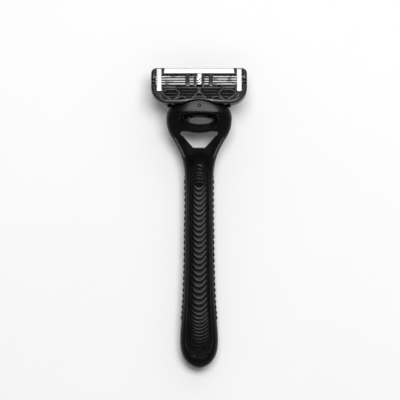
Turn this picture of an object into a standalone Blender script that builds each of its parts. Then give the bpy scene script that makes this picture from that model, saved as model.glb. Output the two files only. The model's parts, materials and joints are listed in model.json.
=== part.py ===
"""Safety razor with a pivoting four-blade cartridge, lying on its back with the blades up.

X runs across the razor, +Y from the butt of the handle to the head, +Z up out of the
front face. The origin is at the bottom centre of the whole razor. Sizes in the helper
calls are millimetres; Blender's own values are metres.
"""

import math

import bmesh
import bpy
from mathutils import Matrix, Vector

MM = 0.001
RAZOR = "safety_razor"
GAP = 0.15  # running gap between fixed neighbours

# Handle
SECTION_POINTS = 28
SECTION_POWER = 2.6
FRONT_POCKET_Z = 8.9
BACK_POCKET_Z = 2.0
BACK_GRIP_Y = (-52.0, 14.0)
BACK_GRIP_HALF_WIDTH = 4.6
SIDE_GRIP_Z = (2.8, 8.4)
SIDE_GRIP_Y = (-46.0, 19.0)
SIDE_GRIP_DEPTH = 1.0
RIB_PITCH = 2.6
RIB_HEIGHT = 0.33

# Head and its mechanism
HOOD_Z = 12.2  # parting plane of the front cover
HOOD_EDGE_Y = 45.8  # lower edge of the front cover on the centre line
HOOD_EDGE_RADIUS = 34.0
MOUTH_Y = 48.3  # where the head ends beside the front cover's tip
TIP_END_Y = 51.4
CAVITY_HALF_WIDTH = 8.6
CAVITY_Z = (8.6, 16.3)
NOSE_HALF_WIDTH = 6.4
NOSE_Y = (43.5, 49.0)
NOSE_Z = (10.0, 14.1)
PLUNGER_Z = 12.2
PLUNGER_RADIUS = 1.3
BORE_RADIUS = 1.55
BORE_Y = 39.6
PLUNGER_BACK_Y = 46.5
PLUNGER_TIP_Y = 53.55
BUTTON_FLOOR_Z = 14.1
BUTTON_HALF_WIDTH = 7.4
BUTTON_SLOT_HALF_WIDTH = 7.9
PRONG_X = (6.75, 7.35)
PRONG_Z = 11.9
RETURN_SPRING_X = 4.6
RETURN_SPRING_Z = 12.6

# Connector between the head and the cartridge
BLOCK_HALF_WIDTH = 8.0
BLOCK_Y = (46.0, 50.2)
BLOCK_Z = (8.9, 15.5)
ARM_Y = (48.5, 49.9)
ARM_Z = (12.0, 14.4)
EAR_X = (12.3, 13.9)
EAR_RADIUS = 1.4
EAR_HOLE_RADIUS = 0.75

# Cartridge, in its own plane: x across, u from guard to strip, n out of the face
PIVOT_Y = 51.9
PIVOT_Z = 16.5
PIVOT_U = 1.6
PIVOT_N = -2.6
FACE_TILT = math.radians(22.0)
CARTRIDGE_HALF_WIDTH = 21.0
CARTRIDGE_U = (-1.0, 15.8)
CARTRIDGE_DEPTH = 4.3
EDGE_ARCH_HALF_WIDTH = 7.7  # the arch in the lower edge, over the front cover's tip
EDGE_ARCH_TOP_U = 0.0
PIVOT_PIN_RADIUS = 0.5
TAB_HALF_WIDTH = 2.3
WINDOW_U = (6.9, 12.6)
WINDOW_HALF_WIDTH = 19.3
BLADE_HALF_LENGTH = 19.0
BLADE_COUNT = 4
FIRST_BLADE_U = 7.65
BLADE_PITCH = 1.15
BLADE_ANGLE = math.radians(22.0)
CLIP_X = 17.68
CLIP_WIDTH = 2.36
CLIP_U = (4.45, 14.95)
BAR_N = (0.06, 0.3)  # bars across the blades, just clear of the edges
BAR_U = (6.6, 12.74)
BAR_X = ((0.95, 2.0), (4.2, 5.85))
POST_HALF_WIDTH = 0.8
STRIP_U = (12.9, 15.1)
STRIP_HALF_WIDTH = 15.3
GUARD_U = (0.45, 6.6)
GUARD_HALF_WIDTH = 16.0

# Half width, top and bottom of the handle's section at places along it
HANDLE_STATIONS = (
    (-66.0, 0.9, 6.6, 4.4),
    (-65.6, 2.3, 7.4, 3.5),
    (-64.9, 3.6, 8.2, 2.7),
    (-64.0, 4.9, 8.9, 2.0),
    (-62.3, 6.35, 9.7, 1.3),
    (-60.3, 7.4, 10.2, 0.85),
    (-57.5, 8.15, 10.7, 0.55),
    (-53.5, 8.45, 11.1, 0.35),
    (-49.1, 8.25, 11.3, 0.3),
    (-44.8, 7.85, 11.4, 0.3),
    (-40.4, 7.5, 11.4, 0.3),
    (-36.0, 7.15, 11.4, 0.3),
    (-27.0, 6.8, 11.4, 0.3),
    (-18.5, 6.55, 11.4, 0.3),
    (-5.4, 6.37, 11.4, 0.3),
    (8.0, 6.22, 11.4, 0.3),
    (15.0, 6.3, 11.5, 0.6),
    (20.0, 6.5, 11.7, 1.2),
    (23.6, 6.95, 11.9, 2.0),
    (27.1, 7.87, 12.2, 2.9),
    (30.6, 9.35, 12.8, 4.0),
    (34.1, 11.3, 13.8, 5.1),
    (35.9, 12.4, 14.5, 5.6),
    (37.6, 13.27, 15.2, 6.0),
    (39.4, 13.87, 15.9, 6.35),
    (41.1, 14.24, 16.6, 6.6),
    (43.3, 14.41, 17.5, 6.85),
    (45.5, 14.2, 18.2, 7.0),
    (46.6, 13.85, 18.35, 7.1),
    (47.25, 13.6, 18.3, 7.15),
    (48.6, 12.95, 18.1, 7.3),
    (49.9, 12.1, 17.85, 7.5),
    (51.6, 10.6, 17.45, 8.0),
)

# name: base colour, roughness, metallic
FINISHES = {
    "black_plastic": ((0.012, 0.012, 0.013, 1.0), 0.35, 0.0),
    "satin_plastic": ((0.03, 0.03, 0.032, 1.0), 0.4, 0.0),
    "black_rubber": ((0.015, 0.015, 0.016, 1.0), 0.6, 0.0),
    "blade_steel": ((0.75, 0.76, 0.78, 1.0), 0.18, 1.0),
    "clip_aluminium": ((0.9, 0.91, 0.92, 1.0), 0.25, 1.0),
    "spring_steel": ((0.55, 0.56, 0.58, 1.0), 0.3, 1.0),
    "white_strip": ((0.9, 0.92, 0.93, 1.0), 0.5, 0.0),
}


# ---------------------------------------------------------------- building helpers


def clear_scene():
    for old in list(bpy.data.objects):
        bpy.data.objects.remove(old, do_unlink=True)


def new_collection(name):
    group = bpy.data.collections.new(name)
    bpy.context.scene.collection.children.link(group)
    return group


def finish_of(name):
    finish = bpy.data.materials.get(name)
    if finish is None:
        colour, roughness, metallic = FINISHES[name]
        finish = bpy.data.materials.new(name)
        finish.use_nodes = True
        shader = finish.node_tree.nodes["Principled BSDF"]
        shader.inputs["Base Color"].default_value = colour
        shader.inputs["Roughness"].default_value = roughness
        shader.inputs["Metallic"].default_value = metallic
        finish.diffuse_color = colour
    return finish


def object_from(bm, name="tool"):
    mesh = bpy.data.meshes.new(name)
    bm.to_mesh(mesh)
    bm.free()
    made = bpy.data.objects.new(name, mesh)
    bpy.context.scene.collection.objects.link(made)
    return made


def box(x_range, y_range, z_range):
    """A box between two values on each axis."""
    ranges = (x_range, y_range, z_range)
    size = [(high - low) * MM for low, high in ranges]
    centre = [(high + low) / 2 * MM for low, high in ranges]
    bm = bmesh.new()
    bmesh.ops.create_cube(bm, size=1.0, matrix=Matrix.Translation(centre) @ Matrix.Diagonal((*size, 1.0)))
    return object_from(bm)


def cylinder(start, end, radius, segments=24):
    """A round bar between two points."""
    a = Vector(start) * MM
    b = Vector(end) * MM
    turn = (b - a).to_track_quat("Z", "Y").to_matrix().to_4x4()
    bm = bmesh.new()
    bmesh.ops.create_cone(
        bm,
        cap_ends=True,
        segments=segments,
        radius1=radius * MM,
        radius2=radius * MM,
        depth=(b - a).length,
        matrix=Matrix.Translation((a + b) / 2) @ turn,
    )
    return object_from(bm)


def mesh_of_curve(curve_object):
    """The curve as one closed mesh object in the same place."""
    bpy.context.view_layer.update()
    graph = bpy.context.evaluated_depsgraph_get()
    mesh = bpy.data.meshes.new_from_object(curve_object.evaluated_get(graph))
    bm = bmesh.new()
    bm.from_mesh(mesh)
    bmesh.ops.remove_doubles(bm, verts=bm.verts, dist=0.002 * MM)
    bmesh.ops.recalc_face_normals(bm, faces=bm.faces)
    bm.to_mesh(mesh)
    bm.free()
    made = bpy.data.objects.new("tool", mesh)
    made.matrix_world = curve_object.matrix_world
    bpy.context.scene.collection.objects.link(made)
    bpy.data.objects.remove(curve_object, do_unlink=True)
    return made


def prism(outline, low, high, axes="XY"):
    """A flat outline given thickness from low to high along the third axis."""
    curve = bpy.data.curves.new("outline", "CURVE")
    curve.dimensions = "2D"
    curve.fill_mode = "BOTH"
    curve.extrude = (high - low) / 2 * MM
    spline = curve.splines.new("POLY")
    spline.points.add(len(outline) - 1)
    for point, (a, b) in zip(spline.points, outline):
        point.co = (a * MM, b * MM, 0.0, 1.0)
    spline.use_cyclic_u = True
    flat = bpy.data.objects.new("outline", curve)
    bpy.context.scene.collection.objects.link(flat)
    lift = Matrix.Translation((0.0, 0.0, (high + low) / 2 * MM))
    if axes == "YZ":
        turn = Matrix(((0, 0, 1, 0), (1, 0, 0, 0), (0, 1, 0, 0), (0, 0, 0, 1)))
        lift = turn @ lift
    flat.matrix_world = lift
    solid = mesh_of_curve(flat)
    solid.data.transform(solid.matrix_world)
    solid.matrix_world = Matrix.Identity(4)
    return solid


def loft(stations, grow=0.0):
    """A body through rounded sections that stand across Y."""
    bm = bmesh.new()
    rings = []
    power = 2.0 / SECTION_POWER
    for y, half_width, top, bottom in stations:
        middle = (top + bottom) / 2
        half_height = (top - bottom) / 2
        ring = []
        for k in range(SECTION_POINTS):
            angle = 2.0 * math.pi * k / SECTION_POINTS
            cosine = math.cos(angle)
            sine = math.sin(angle)
            x = math.copysign(abs(cosine) ** power, cosine) * (half_width + grow)
            z = middle + math.copysign(abs(sine) ** power, sine) * half_height
            ring.append(bm.verts.new((x * MM, y * MM, z * MM)))
        rings.append(ring)
    for ring, following in zip(rings, rings[1:]):
        for k in range(SECTION_POINTS):
            after = (k + 1) % SECTION_POINTS
            bm.faces.new((ring[k], following[k], following[after], ring[after]))
    bm.faces.new(rings[0])
    bm.faces.new(list(reversed(rings[-1])))
    bmesh.ops.recalc_face_normals(bm, faces=bm.faces)
    return object_from(bm)


def combine(target, tool, operation, solver="EXACT"):
    """Cut, join or intersect target with tool, which is used up."""
    modifier = target.modifiers.new("combine", "BOOLEAN")
    modifier.operation = operation
    modifier.solver = solver
    modifier.object = tool
    bpy.context.view_layer.update()
    graph = bpy.context.evaluated_depsgraph_get()
    mesh = bpy.data.meshes.new_from_object(target.evaluated_get(graph))
    target.modifiers.clear()
    target.data = mesh
    bpy.data.objects.remove(tool, do_unlink=True)
    return target


def cut(target, *tools):
    for tool in tools:
        combine(target, tool, "DIFFERENCE")
    return target


def join(target, *tools):
    for tool in tools:
        combine(target, tool, "UNION")
    return target


def keep_inside(target, tool):
    return combine(target, tool, "INTERSECT")


def rounded(target, width, segments=2, angle=50.0):
    """Edges sharper than the angle are rounded, and the result is kept."""
    modifier = target.modifiers.new("round", "BEVEL")
    modifier.width = width * MM
    modifier.segments = segments
    modifier.limit_method = "ANGLE"
    modifier.angle_limit = math.radians(angle)
    bpy.context.view_layer.update()
    graph = bpy.context.evaluated_depsgraph_get()
    mesh = bpy.data.meshes.new_from_object(target.evaluated_get(graph))
    target.modifiers.clear()
    target.data = mesh
    return target


def publish(solid, name, finish, parent=None):
    """Names a finished solid, gives it its finish and hangs it on its joint's empty."""
    solid.name = name
    solid.data.name = name
    solid.data.materials.clear()
    solid.data.materials.append(finish_of(finish))
    solid.data.shade_smooth()
    solid.data.set_sharp_from_angle(angle=math.radians(35.0))
    for group in list(solid.users_collection):
        group.objects.unlink(solid)
    parts.objects.link(solid)
    if parent is not None:
        solid.parent = parent
    return solid


def empty_at(name, location, rotation=(0.0, 0.0, 0.0)):
    """A joint's empty; solids hung on it are built about its own origin."""
    joint = bpy.data.objects.new(name, None)
    joint.location = [value * MM for value in location]
    joint.rotation_euler = rotation
    parts.objects.link(joint)
    return joint


def about(solid, joint_place):
    """Moves a solid's mesh so that the joint's place becomes its origin."""
    solid.data.transform(Matrix.Translation([-value * MM for value in joint_place]))
    return solid


def arc(start, middle, end, steps=10):
    """Points of the round arc through three points."""
    (x1, y1), (x2, y2), (x3, y3) = start, middle, end
    d = 2.0 * (x1 * (y2 - y3) + x2 * (y3 - y1) + x3 * (y1 - y2))
    s1, s2, s3 = x1 * x1 + y1 * y1, x2 * x2 + y2 * y2, x3 * x3 + y3 * y3
    cx = (s1 * (y2 - y3) + s2 * (y3 - y1) + s3 * (y1 - y2)) / d
    cy = (s1 * (x3 - x2) + s2 * (x1 - x3) + s3 * (x2 - x1)) / d
    radius = math.hypot(x1 - cx, y1 - cy)
    first = math.atan2(y1 - cy, x1 - cx)
    half = math.remainder(math.atan2(y2 - cy, x2 - cx) - first, 2.0 * math.pi)
    rest = math.remainder(math.atan2(y3 - cy, x3 - cx) - first - half, 2.0 * math.pi)
    sweep = half + rest
    points = []
    for k in range(steps + 1):
        angle = first + sweep * k / steps
        points.append((cx + radius * math.cos(angle), cy + radius * math.sin(angle)))
    return points


def mirrored(half):
    """A right-hand outline closed by its own mirror image; it runs upwards."""
    left = [(-x, y) for x, y in reversed(half) if x > 0.0]
    return half + left


def thick_path(points, thickness):
    """The outline of a bent strip along a centre line."""
    left = []
    right = []
    for k, (x, y) in enumerate(points):
        before = Vector(points[max(k - 1, 0)])
        here = Vector((x, y))
        after = Vector(points[min(k + 1, len(points) - 1)])
        into = (here - before) if k > 0 else (after - here)
        out = (after - here) if k < len(points) - 1 else into
        into.normalize()
        out.normalize()
        normal_in = Vector((-into.y, into.x))
        normal_out = Vector((-out.y, out.x))
        miter = normal_in + normal_out
        miter *= thickness / (2.0 * miter.normalized().dot(normal_in) * miter.length)
        left.append(tuple(here + miter))
        right.append(tuple(here - miter))
    return left + right[::-1]


def half_width_at(y):
    """The handle's half width at a place along it."""
    for (y0, w0, _, _), (y1, w1, _, _) in zip(HANDLE_STATIONS, HANDLE_STATIONS[1:]):
        if y0 <= y <= y1:
            return w0 + (w1 - w0) * (y - y0) / (y1 - y0)
    return 0.0


def helix(radius, start_y, end_y, turns, wire, x, z):
    """A coil spring of round wire along Y, as one closed mesh."""
    steps = 10
    count = turns * steps
    curve = bpy.data.curves.new("coil", "CURVE")
    curve.dimensions = "3D"
    curve.bevel_depth = wire / 2 * MM
    curve.bevel_resolution = 1
    curve.use_fill_caps = True
    spline = curve.splines.new("POLY")
    spline.points.add(count)
    for k, point in enumerate(spline.points):
        angle = 2.0 * math.pi * k / steps
        y = start_y + (end_y - start_y) * k / count
        place = (x + radius * math.cos(angle), y, z + radius * math.sin(angle))
        point.co = (*[value * MM for value in place], 1.0)
    coil = bpy.data.objects.new("coil", curve)
    bpy.context.scene.collection.objects.link(coil)
    return mesh_of_curve(coil)


# ------------------------------------------------------------------------- handle


def hood_outline(lift=0.0):
    """Plan of the front cover: an arched lower edge, open towards the cartridge."""
    edge = HOOD_EDGE_Y + lift
    side = 16.0
    reach = 60.0
    drop = edge - (side * side) / (2.0 * HOOD_EDGE_RADIUS)
    arch = arc((side, drop), (0.0, edge), (-side, drop), 15)
    return arch + [(-side, reach), (side, reach)]


def around_tip_outline():
    """What is cut away round the arched tip of the front cover."""
    corner = (8.4, 50.5)
    tip = arc(corner, (0.0, TIP_END_Y), (-corner[0], corner[1]), 11)
    side = 20.0
    reach = 60.0
    right = [(side, MOUTH_Y), (10.3, MOUTH_Y), (9.9, 49.4)]
    left = [(-x, y) for x, y in reversed(right)]
    return right + tip + left + [(-side, reach), (side, reach)]


def front_grip_outline(inset=0.0):
    """An inlay with an arched top that widens towards the butt."""
    half = arc((0.0, -61.4 + inset), (4.9 - inset, -58.2), (6.3 - inset, -51.5), 6)
    half += [(6.0 - inset, -45.0), (5.5 - inset, -34.0), (5.1 - inset, -15.0), (5.0 - inset, 12.0)]
    half += arc((4.5 - inset, 19.0), (2.9 - inset, 23.0), (0.0, 24.8 - inset), 5)
    return mirrored(half)


def back_grip_outline(inset=0.0):
    """A long pad with round ends on the handle's back."""
    width = BACK_GRIP_HALF_WIDTH - inset
    low = BACK_GRIP_Y[0] + inset
    high = BACK_GRIP_Y[1] - inset
    diagonal = width * math.sqrt(0.5)
    half = arc((0.0, low), (diagonal, low + width - diagonal), (width, low + width), 4)
    half += arc((width, high - width), (diagonal, high - width + diagonal), (0.0, high), 4)
    return mirrored(half)


def side_grip_outline(side, inset=0.0, ribbed=False):
    """Plan of a strip let into the handle's side, ribbed on its outer edge."""
    low, high = SIDE_GRIP_Y
    low += inset
    high -= inset
    inner = []
    for y in (high, 12.0, 0.0, -15.0, -30.0, -40.0, low):
        inner.append((side * (half_width_at(y) - SIDE_GRIP_DEPTH + inset), y))
    outer = []
    if ribbed:
        ribs = int((high - low) / RIB_PITCH)
        steps = ribs * 4
        for k in range(steps + 1):
            y = low + (high - low) * k / steps
            rise = RIB_HEIGHT * (0.5 - 0.5 * math.cos(2.0 * math.pi * k / 4))
            outer.append((side * (half_width_at(y) + rise), y))
    else:
        outer = [(side * 12.0, low), (side * 12.0, high)]
    return inner + outer


def triangle_outline():
    """The open triangle between the neck's two arms."""
    half = [(2.6, 31.0), (5.5, 34.2), (7.2, 36.1)]
    half += arc((7.9, 36.9), (8.2, 37.5), (7.7, 37.7), 4)
    return mirrored(half)


def make_handle_core():
    core = loft(HANDLE_STATIONS)
    cut(core, prism(triangle_outline(), -5.0, 25.0))
    cut(core, prism(front_grip_outline(-GAP), FRONT_POCKET_Z - GAP, 20.0))
    cut(core, prism(back_grip_outline(-GAP), -5.0, BACK_POCKET_Z))
    for side in (-1.0, 1.0):
        low, high = SIDE_GRIP_Z
        cut(core, prism(side_grip_outline(side, -GAP), low - GAP, high + GAP))
    low_y, high_y = NOSE_Y
    cut(core, prism(hood_outline(-GAP), HOOD_Z, 30.0))
    cut(core, box((-20.0, 20.0), (MOUTH_Y, 60.0), (-5.0, 30.0)))
    cavity_x = (-CAVITY_HALF_WIDTH, CAVITY_HALF_WIDTH)
    cut(core, box(cavity_x, (44.2, 60.0), CAVITY_Z))
    button_x = (-BUTTON_SLOT_HALF_WIDTH, BUTTON_SLOT_HALF_WIDTH)
    cut(core, box(button_x, (36.0, 60.0), (BUTTON_FLOOR_Z, 30.0)))
    cut(core, box((-8.0, 8.0), (41.0, 47.3), (0.0, CAVITY_Z[0] + 0.1)))
    join(core, box((-NOSE_HALF_WIDTH, NOSE_HALF_WIDTH), (low_y, high_y), NOSE_Z))
    cut(core, cylinder((0.0, BORE_Y, PLUNGER_Z), (0.0, 60.0, PLUNGER_Z), BORE_RADIUS))
    for side in (-1.0, 1.0):
        slot_x = sorted((side * (PRONG_X[0] - GAP), side * BUTTON_SLOT_HALF_WIDTH))
        cut(core, box(slot_x, (40.0, 50.0), (PRONG_Z - GAP, 20.0)))
        pocket_x = sorted((side * (RETURN_SPRING_X - 1.3), side * (RETURN_SPRING_X + 1.3)))
        cut(core, box(pocket_x, (38.9, 45.2), (11.3, 20.0)))
    return publish(core, "handle_core", "black_plastic")


def make_grips():
    front = loft(HANDLE_STATIONS)
    keep_inside(front, prism(front_grip_outline(), FRONT_POCKET_Z, 20.0))
    publish(front, "front_grip", "black_rubber")
    back = rounded(prism(back_grip_outline(), 0.0, BACK_POCKET_Z - GAP), 0.25)
    publish(back, "back_grip", "black_rubber")
    for side, word in ((-1.0, "left"), (1.0, "right")):
        strip = loft(HANDLE_STATIONS, RIB_HEIGHT)
        keep_inside(strip, prism(side_grip_outline(side, 0.0, True), *SIDE_GRIP_Z))
        publish(strip, word + "_side_grip", "black_rubber")


def make_head_covers():
    hood = loft(HANDLE_STATIONS)
    combine(hood, prism(hood_outline(), HOOD_Z + GAP, 30.0), "INTERSECT", "MANIFOLD")
    hollows = [box((-CAVITY_HALF_WIDTH, CAVITY_HALF_WIDTH), (30.0, 49.0), CAVITY_Z)]
    hollows += [box((-20.0, 20.0), (MOUTH_Y, 60.0), (0.0, CAVITY_Z[1]))]
    hollows += [prism(around_tip_outline(), 0.0, 30.0)]
    for hollow in hollows:
        combine(hood, hollow, "DIFFERENCE", "MANIFOLD")
    publish(hood, "head_front_cover", "satin_plastic")
    rear = loft(HANDLE_STATIONS)
    inside = box((-8.0 + GAP, 8.0 - GAP), (41.0 + GAP, 47.3 - GAP), (0.0, CAVITY_Z[0] - GAP))
    publish(keep_inside(rear, inside), "head_rear_cover", "black_plastic")


# ------------------------------------------------- eject button, plunger and springs


def button_side_profile():
    """The button seen from the side: a crest that falls away both ways."""
    floor = BUTTON_FLOOR_Z + GAP
    return [
        (37.2, floor),
        (44.1, floor),
        (44.1, 15.55),
        (42.9, 15.82),
        (41.9, 16.02),
        (41.0, 16.1),
        (40.0, 16.05),
        (38.6, 15.6),
        (37.2, 14.9),
    ]


def make_eject_button():
    place = (0.0, 43.0, BUTTON_FLOOR_Z)
    joint = empty_at("eject_button_slide", place)
    half = arc((0.0, 37.3), (4.0, 37.7), (BUTTON_HALF_WIDTH, 38.6), 5)
    half += arc((BUTTON_HALF_WIDTH, 43.0), (3.8, 43.75), (0.0, 44.0), 5)
    button = loft(HANDLE_STATIONS)
    button.data.transform(Matrix.Translation((0.0, 0.0, -0.25 * MM)))
    keep_inside(button, prism(mirrored(half), BUTTON_FLOOR_Z, 30.0))
    keep_inside(button, prism(button_side_profile(), -9.0, 9.0, "YZ"))
    for side in (-1.0, 1.0):
        prong_x = sorted(side * x for x in PRONG_X)
        join(button, box(prong_x, (41.0, BLOCK_Y[0] - 0.1), (PRONG_Z, 15.0)))
        lug_x = sorted((side * (RETURN_SPRING_X - 1.1), side * (RETURN_SPRING_X + 1.1)))
        join(button, box(lug_x, (39.1, 40.1), (11.5, 15.0)))
    publish(about(button, place), "eject_button", "black_plastic", joint)
    for side, word in ((-1.0, "left"), (1.0, "right")):
        spring = helix(0.85, 40.3, 45.0, 6, 0.3, side * RETURN_SPRING_X, RETURN_SPRING_Z)
        publish(spring, "button_spring_" + word, "spring_steel")


def make_plunger():
    place = (0.0, PLUNGER_BACK_Y, PLUNGER_Z)
    joint = empty_at("plunger_slide", place)
    length = PLUNGER_TIP_Y - PLUNGER_BACK_Y
    profile = [(0.0, length)]
    for k in range(1, 6):
        angle = math.radians(90.0 - 18.0 * k)
        reach = length - PLUNGER_RADIUS + PLUNGER_RADIUS * math.sin(angle)
        profile.append((PLUNGER_RADIUS * math.cos(angle), reach))
    profile += [(PLUNGER_RADIUS, 0.0), (0.0, 0.0)]
    bm = bmesh.new()
    points = [bm.verts.new((r * MM, 0.0, h * MM)) for r, h in profile]
    for a, b in zip(points, points[1:]):
        bm.edges.new((a, b))
    turned = object_from(bm)
    screw = turned.modifiers.new("turn", "SCREW")
    screw.steps = 24
    screw.render_steps = 24
    screw.use_merge_vertices = True
    screw.merge_threshold = 0.0001 * MM
    bpy.context.view_layer.update()
    graph = bpy.context.evaluated_depsgraph_get()
    turned.data = bpy.data.meshes.new_from_object(turned.evaluated_get(graph))
    turned.modifiers.clear()
    turned.data.transform(Matrix.Rotation(math.radians(-90.0), 4, "X"))
    publish(turned, "plunger", "black_plastic", joint)
    spring = helix(1.1, BORE_Y + 0.3, PLUNGER_BACK_Y - 0.2, 7, 0.35, 0.0, PLUNGER_Z)
    publish(spring, "plunger_spring", "spring_steel")


# ---------------------------------------------------------------------- connector


def make_connector():
    place = (0.0, BLOCK_Y[0], PLUNGER_Z)
    joint = empty_at("connector_release", place)
    block = box((-BLOCK_HALF_WIDTH, BLOCK_HALF_WIDTH), BLOCK_Y, BLOCK_Z)
    arm_x = (-EAR_X[1] + 0.2, EAR_X[1] - 0.2)
    join(block, box(arm_x, ARM_Y, ARM_Z))
    for side in (-1.0, 1.0):
        low, high = sorted((side * EAR_X[0], side * EAR_X[1]))
        root = (49.25, 13.35)
        link = thick_path([root, (PIVOT_Y, PIVOT_Z)], 2.0)
        join(block, prism(link, low, high, "YZ"))
        join(block, cylinder((low, PIVOT_Y, PIVOT_Z), (high, PIVOT_Y, PIVOT_Z), EAR_RADIUS))
    socket_x = (-NOSE_HALF_WIDTH - 0.3, NOSE_HALF_WIDTH + 0.3)
    socket_y = (0.0, NOSE_Y[1] + 0.3)
    cut(block, box(socket_x, socket_y, (NOSE_Z[0] - 0.3, NOSE_Z[1] + 0.3)))
    cut(block, box((-2.5, 2.5), (40.0, 60.0), (PLUNGER_Z - 1.9, PLUNGER_Z + 1.9)))
    hole_start = (-20.0, PIVOT_Y, PIVOT_Z)
    hole_end = (20.0, PIVOT_Y, PIVOT_Z)
    cut(block, cylinder(hole_start, hole_end, EAR_HOLE_RADIUS))
    publish(about(block, place), "connector", "black_plastic", joint)
    return joint


# ---------------------------------------------------------------------- cartridge


def on_pivot(solid):
    """Moves a solid built in the cartridge's plane so that the pivot is its origin."""
    return about(solid, (0.0, PIVOT_U, PIVOT_N))


def frame_outline():
    """The cartridge's outline: small corners at the strip, large ones at the guard."""
    w = CARTRIDGE_HALF_WIDTH
    low, high = CARTRIDGE_U
    big = 7.8
    small = 2.2
    bulge = 1.0 - math.sqrt(0.5)
    half = arc((w - big, low), (w - big * bulge, low + big * bulge), (w, low + big), 8)
    half += arc((w, high - small), (w - small * bulge, high - small * bulge), (w - small, high), 4)
    return mirrored(half)


def edge_arch_outline():
    """The arch cut into the middle of the frame's lower edge."""
    low = CARTRIDGE_U[0]
    half = EDGE_ARCH_HALF_WIDTH
    return arc((half, low), (0.0, EDGE_ARCH_TOP_U), (-half, low), 11) + [(-half, -4.0), (half, -4.0)]


def make_cartridge_frame():
    n_back = -CARTRIDGE_DEPTH
    frame = rounded(prism(frame_outline(), n_back, 0.0), 0.7, 2, 60.0)
    # seat of the lubricating strip and of the guard
    seat_x = (-STRIP_HALF_WIDTH - GAP, STRIP_HALF_WIDTH + GAP)
    cut(frame, box(seat_x, (STRIP_U[0] - GAP, STRIP_U[1] + GAP), (-0.65, 2.0)))
    guard_x = (-GUARD_HALF_WIDTH - GAP, GUARD_HALF_WIDTH + GAP)
    cut(frame, box(guard_x, (GUARD_U[0] - GAP, GUARD_U[1] + GAP), (-0.6, 2.0)))
    # blade pocket with its rinsing windows
    cut(frame, box((-WINDOW_HALF_WIDTH, WINDOW_HALF_WIDTH), WINDOW_U, (-3.5, 2.0)))
    for low, high in ((0.8, 8.2), (9.4, 16.0)):
        for side in (-1.0, 1.0):
            cut(frame, box(sorted((side * low, side * high)), (7.2, 12.3), (-9.0, -3.0)))
    for side in (-1.0, 1.0):
        slot_x = sorted((side * (CLIP_X - CLIP_WIDTH / 2 - 0.1), side * (CLIP_X + CLIP_WIDTH / 2 + 0.1)))
        for u in CLIP_U:
            cut(frame, box(slot_x, (u - 0.3, u + 0.3), (-9.0, 2.0)))
    # room for the front cover's tip and for the connector's ears
    cut(frame, prism(edge_arch_outline(), -9.0, 2.0))
    cut(frame, box((-10.5, 10.5), (-5.0, 3.0), (-9.0, -1.2)))
    for side in (-1.0, 1.0):
        ear_x = sorted((side * (EAR_X[0] - GAP), side * (EAR_X[1] + GAP)))
        cut(frame, box(ear_x, (-5.0, 4.2), (-9.0, -0.95)))
        pin_x = sorted((side * (EAR_X[0] + 0.2), side * (EAR_X[1] + 0.8)))
        pin_ends = [(x, PIVOT_U, PIVOT_N) for x in pin_x]
        join(frame, cylinder(*pin_ends, PIVOT_PIN_RADIUS, 16))
        # bars across the blades, each with a foot at either end
        for near, far in BAR_X:
            bar_x = sorted((side * near, side * far))
            join(frame, box(bar_x, BAR_U, BAR_N))
            join(frame, box(bar_x, (BAR_U[0], WINDOW_U[0] - 0.02), (-0.3, BAR_N[1])))
            join(frame, box(bar_x, (WINDOW_U[1] + 0.02, BAR_U[1]), (-0.3, BAR_N[1])))
    return frame


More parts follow.
